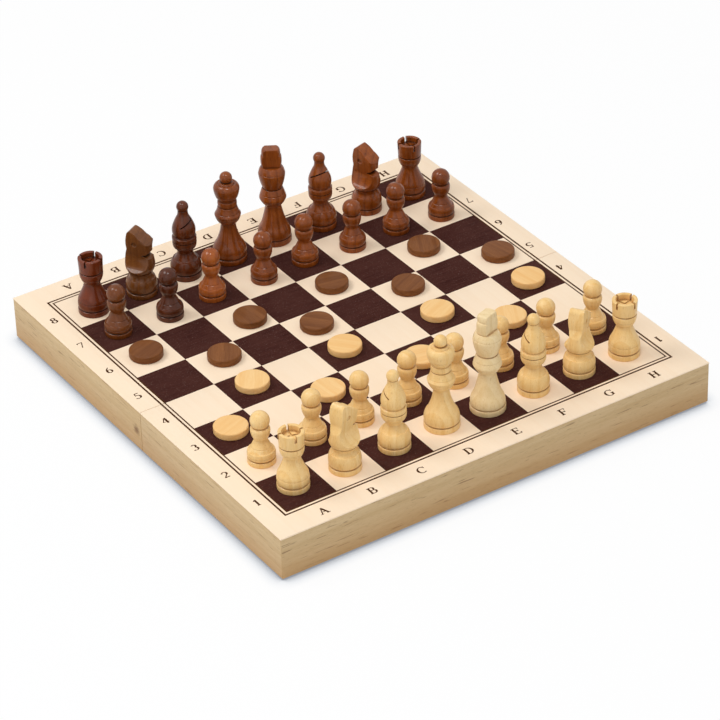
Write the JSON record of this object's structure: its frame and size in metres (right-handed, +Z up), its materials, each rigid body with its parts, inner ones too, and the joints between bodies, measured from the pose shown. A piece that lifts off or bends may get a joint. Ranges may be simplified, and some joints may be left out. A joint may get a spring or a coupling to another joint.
{
  "type": "games compendium box",
  "caption": "Folding pale wood games case opened flat as a chequered board, with butt hinges along the fold and turned chessmen and draughts standing on it.",
  "frame": {"origin": "under the middle of the fold, on the surface that the open case rests on", "axes": "+X along the files towards the right of the light side's player, +Y along the ranks towards the dark men, +Z up out of the playing field"},
  "size_m": [0.362, 0.368, 0.1139],
  "materials": {
    "face_veneer": "satin",
    "case_wood": "satin",
    "hinge_brass": "satin",
    "screw_brass": "satin",
    "pin_steel": "brushed",
    "dark_men": "gloss",
    "light_men": "satin",
    "dark_draughts": "satin",
    "light_draughts": "satin"
  },
  "bodies": {
    "far_half": {"far_panel": "face_veneer", "far_long_rails": "case_wood", "far_side_rails": "case_wood", "far_hinge_leaves": "hinge_brass", "hinge_pins": "pin_steel", "far_hinge_screws": "screw_brass"},
    "near_half": {"near_panel": "face_veneer", "near_long_rails": "case_wood", "near_side_rails": "case_wood", "near_hinge_leaves": "hinge_brass", "near_hinge_screws": "screw_brass"},
    "dark_rook_a8": {"dark_rook_a8": "dark_men"},
    "dark_knight_b8": {"dark_knight_b8": "dark_men"},
    "dark_bishop_c8": {"dark_bishop_c8": "dark_men"},
    "dark_queen_d8": {"dark_queen_d8": "dark_men"},
    "dark_king_e8": {"dark_king_e8": "dark_men"},
    "dark_bishop_f8": {"dark_bishop_f8": "dark_men"},
    "dark_knight_g8": {"dark_knight_g8": "dark_men"},
    "dark_rook_h8": {"dark_rook_h8": "dark_men"},
    "dark_pawn_a7": {"dark_pawn_a7": "dark_men"},
    "dark_pawn_b7": {"dark_pawn_b7": "dark_men"},
    "dark_pawn_c7": {"dark_pawn_c7": "dark_men"},
    "dark_pawn_d7": {"dark_pawn_d7": "dark_men"},
    "dark_pawn_e7": {"dark_pawn_e7": "dark_men"},
    "dark_pawn_f7": {"dark_pawn_f7": "dark_men"},
    "dark_pawn_g7": {"dark_pawn_g7": "dark_men"},
    "dark_pawn_h7": {"dark_pawn_h7": "dark_men"},
    "dark_draught_a6": {"dark_draught_a6": "dark_draughts"},
    "dark_draught_b5": {"dark_draught_b5": "dark_draughts"},
    "dark_draught_c6": {"dark_draught_c6": "dark_draughts"},
    "dark_draught_d5": {"dark_draught_d5": "dark_draughts"},
    "dark_draught_e6": {"dark_draught_e6": "dark_draughts"},
    "dark_draught_f5": {"dark_draught_f5": "dark_draughts"},
    "dark_draught_g6": {"dark_draught_g6": "dark_draughts"},
    "dark_draught_h5": {"dark_draught_h5": "dark_draughts"},
    "light_rook_a1": {"light_rook_a1": "light_men"},
    "light_knight_b1": {"light_knight_b1": "light_men"},
    "light_bishop_c1": {"light_bishop_c1": "light_men"},
    "light_queen_d1": {"light_queen_d1": "light_men"},
    "light_king_e1": {"light_king_e1": "light_men"},
    "light_bishop_f1": {"light_bishop_f1": "light_men"},
    "light_knight_g1": {"light_knight_g1": "light_men"},
    "light_rook_h1": {"light_rook_h1": "light_men"},
    "light_pawn_a2": {"light_pawn_a2": "light_men"},
    "light_pawn_b2": {"light_pawn_b2": "light_men"},
    "light_pawn_c2": {"light_pawn_c2": "light_men"},
    "light_pawn_d2": {"light_pawn_d2": "light_men"},
    "light_pawn_e2": {"light_pawn_e2": "light_men"},
    "light_pawn_f2": {"light_pawn_f2": "light_men"},
    "light_pawn_g2": {"light_pawn_g2": "light_men"},
    "light_pawn_h2": {"light_pawn_h2": "light_men"},
    "light_draught_a3": {"light_draught_a3": "light_draughts"},
    "light_draught_b4": {"light_draught_b4": "light_draughts"},
    "light_draught_c3": {"light_draught_c3": "light_draughts"},
    "light_draught_d4": {"light_draught_d4": "light_draughts"},
    "light_draught_e3": {"light_draught_e3": "light_draughts"},
    "light_draught_f4": {"light_draught_f4": "light_draughts"},
    "light_draught_g3": {"light_draught_g3": "light_draughts"},
    "light_draught_h4": {"light_draught_h4": "light_draughts"}
  },
  "joints": [
    {"name": "fold", "type": "hinge", "parent": "far_half", "child": "near_half", "pos_m": [0, 0, 0.0015], "axis": [1, 0, 0], "range_deg": [0, 180]},
    {"name": "lift_dark_rook_a8", "type": "slide", "parent": "far_half", "child": "dark_rook_a8", "axis": [0, 0, 1], "range_m": [0, 0.1]},
    {"name": "lift_dark_knight_b8", "type": "slide", "parent": "far_half", "child": "dark_knight_b8", "axis": [0, 0, 1], "range_m": [0, 0.1]},
    {"name": "lift_dark_bishop_c8", "type": "slide", "parent": "far_half", "child": "dark_bishop_c8", "axis": [0, 0, 1], "range_m": [0, 0.1]},
    {"name": "lift_dark_queen_d8", "type": "slide", "parent": "far_half", "child": "dark_queen_d8", "axis": [0, 0, 1], "range_m": [0, 0.1]},
    {"name": "lift_dark_king_e8", "type": "slide", "parent": "far_half", "child": "dark_king_e8", "axis": [0, 0, 1], "range_m": [0, 0.1]},
    {"name": "lift_dark_bishop_f8", "type": "slide", "parent": "far_half", "child": "dark_bishop_f8", "axis": [0, 0, 1], "range_m": [0, 0.1]},
    {"name": "lift_dark_knight_g8", "type": "slide", "parent": "far_half", "child": "dark_knight_g8", "axis": [0, 0, 1], "range_m": [0, 0.1]},
    {"name": "lift_dark_rook_h8", "type": "slide", "parent": "far_half", "child": "dark_rook_h8", "axis": [0, 0, 1], "range_m": [0, 0.1]},
    {"name": "lift_dark_pawn_a7", "type": "slide", "parent": "far_half", "child": "dark_pawn_a7", "axis": [0, 0, 1], "range_m": [0, 0.1]},
    {"name": "lift_dark_pawn_b7", "type": "slide", "parent": "far_half", "child": "dark_pawn_b7", "axis": [0, 0, 1], "range_m": [0, 0.1]},
    {"name": "lift_dark_pawn_c7", "type": "slide", "parent": "far_half", "child": "dark_pawn_c7", "axis": [0, 0, 1], "range_m": [0, 0.1]},
    {"name": "lift_dark_pawn_d7", "type": "slide", "parent": "far_half", "child": "dark_pawn_d7", "axis": [0, 0, 1], "range_m": [0, 0.1]},
    {"name": "lift_dark_pawn_e7", "type": "slide", "parent": "far_half", "child": "dark_pawn_e7", "axis": [0, 0, 1], "range_m": [0, 0.1]},
    {"name": "lift_dark_pawn_f7", "type": "slide", "parent": "far_half", "child": "dark_pawn_f7", "axis": [0, 0, 1], "range_m": [0, 0.1]},
    {"name": "lift_dark_pawn_g7", "type": "slide", "parent": "far_half", "child": "dark_pawn_g7", "axis": [0, 0, 1], "range_m": [0, 0.1]},
    {"name": "lift_dark_pawn_h7", "type": "slide", "parent": "far_half", "child": "dark_pawn_h7", "axis": [0, 0, 1], "range_m": [0, 0.1]},
    {"name": "lift_dark_draught_a6", "type": "slide", "parent": "far_half", "child": "dark_draught_a6", "axis": [0, 0, 1], "range_m": [0, 0.1]},
    {"name": "lift_dark_draught_b5", "type": "slide", "parent": "far_half", "child": "dark_draught_b5", "axis": [0, 0, 1], "range_m": [0, 0.1]},
    {"name": "lift_dark_draught_c6", "type": "slide", "parent": "far_half", "child": "dark_draught_c6", "axis": [0, 0, 1], "range_m": [0, 0.1]},
    {"name": "lift_dark_draught_d5", "type": "slide", "parent": "far_half", "child": "dark_draught_d5", "axis": [0, 0, 1], "range_m": [0, 0.1]},
    {"name": "lift_dark_draught_e6", "type": "slide", "parent": "far_half", "child": "dark_draught_e6", "axis": [0, 0, 1], "range_m": [0, 0.1]},
    {"name": "lift_dark_draught_f5", "type": "slide", "parent": "far_half", "child": "dark_draught_f5", "axis": [0, 0, 1], "range_m": [0, 0.1]},
    {"name": "lift_dark_draught_g6", "type": "slide", "parent": "far_half", "child": "dark_draught_g6", "axis": [0, 0, 1], "range_m": [0, 0.1]},
    {"name": "lift_dark_draught_h5", "type": "slide", "parent": "far_half", "child": "dark_draught_h5", "axis": [0, 0, 1], "range_m": [0, 0.1]},
    {"name": "lift_light_rook_a1", "type": "slide", "parent": "near_half", "child": "light_rook_a1", "axis": [0, 0, 1], "range_m": [0, 0.1]},
    {"name": "lift_light_knight_b1", "type": "slide", "parent": "near_half", "child": "light_knight_b1", "axis": [0, 0, 1], "range_m": [0, 0.1]},
    {"name": "lift_light_bishop_c1", "type": "slide", "parent": "near_half", "child": "light_bishop_c1", "axis": [0, 0, 1], "range_m": [0, 0.1]},
    {"name": "lift_light_queen_d1", "type": "slide", "parent": "near_half", "child": "light_queen_d1", "axis": [0, 0, 1], "range_m": [0, 0.1]},
    {"name": "lift_light_king_e1", "type": "slide", "parent": "near_half", "child": "light_king_e1", "axis": [0, 0, 1], "range_m": [0, 0.1]},
    {"name": "lift_light_bishop_f1", "type": "slide", "parent": "near_half", "child": "light_bishop_f1", "axis": [0, 0, 1], "range_m": [0, 0.1]},
    {"name": "lift_light_knight_g1", "type": "slide", "parent": "near_half", "child": "light_knight_g1", "axis": [0, 0, 1], "range_m": [0, 0.1]},
    {"name": "lift_light_rook_h1", "type": "slide", "parent": "near_half", "child": "light_rook_h1", "axis": [0, 0, 1], "range_m": [0, 0.1]},
    {"name": "lift_light_pawn_a2", "type": "slide", "parent": "near_half", "child": "light_pawn_a2", "axis": [0, 0, 1], "range_m": [0, 0.1]},
    {"name": "lift_light_pawn_b2", "type": "slide", "parent": "near_half", "child": "light_pawn_b2", "axis": [0, 0, 1], "range_m": [0, 0.1]},
    {"name": "lift_light_pawn_c2", "type": "slide", "parent": "near_half", "child": "light_pawn_c2", "axis": [0, 0, 1], "range_m": [0, 0.1]},
    {"name": "lift_light_pawn_d2", "type": "slide", "parent": "near_half", "child": "light_pawn_d2", "axis": [0, 0, 1], "range_m": [0, 0.1]},
    {"name": "lift_light_pawn_e2", "type": "slide", "parent": "near_half", "child": "light_pawn_e2", "axis": [0, 0, 1], "range_m": [0, 0.1]},
    {"name": "lift_light_pawn_f2", "type": "slide", "parent": "near_half", "child": "light_pawn_f2", "axis": [0, 0, 1], "range_m": [0, 0.1]},
    {"name": "lift_light_pawn_g2", "type": "slide", "parent": "near_half", "child": "light_pawn_g2", "axis": [0, 0, 1], "range_m": [0, 0.1]},
    {"name": "lift_light_pawn_h2", "type": "slide", "parent": "near_half", "child": "light_pawn_h2", "axis": [0, 0, 1], "range_m": [0, 0.1]},
    {"name": "lift_light_draught_a3", "type": "slide", "parent": "near_half", "child": "light_draught_a3", "axis": [0, 0, 1], "range_m": [0, 0.1]},
    {"name": "lift_light_draught_b4", "type": "slide", "parent": "near_half", "child": "light_draught_b4", "axis": [0, 0, 1], "range_m": [0, 0.1]},
    {"name": "lift_light_draught_c3", "type": "slide", "parent": "near_half", "child": "light_draught_c3", "axis": [0, 0, 1], "range_m": [0, 0.1]},
    {"name": "lift_light_draught_d4", "type": "slide", "parent": "near_half", "child": "light_draught_d4", "axis": [0, 0, 1], "range_m": [0, 0.1]},
    {"name": "lift_light_draught_e3", "type": "slide", "parent": "near_half", "child": "light_draught_e3", "axis": [0, 0, 1], "range_m": [0, 0.1]},
    {"name": "lift_light_draught_f4", "type": "slide", "parent": "near_half", "child": "light_draught_f4", "axis": [0, 0, 1], "range_m": [0, 0.1]},
    {"name": "lift_light_draught_g3", "type": "slide", "parent": "near_half", "child": "light_draught_g3", "axis": [0, 0, 1], "range_m": [0, 0.1]},
    {"name": "lift_light_draught_h4", "type": "slide", "parent": "near_half", "child": "light_draught_h4", "axis": [0, 0, 1], "range_m": [0, 0.1]}
  ]
}
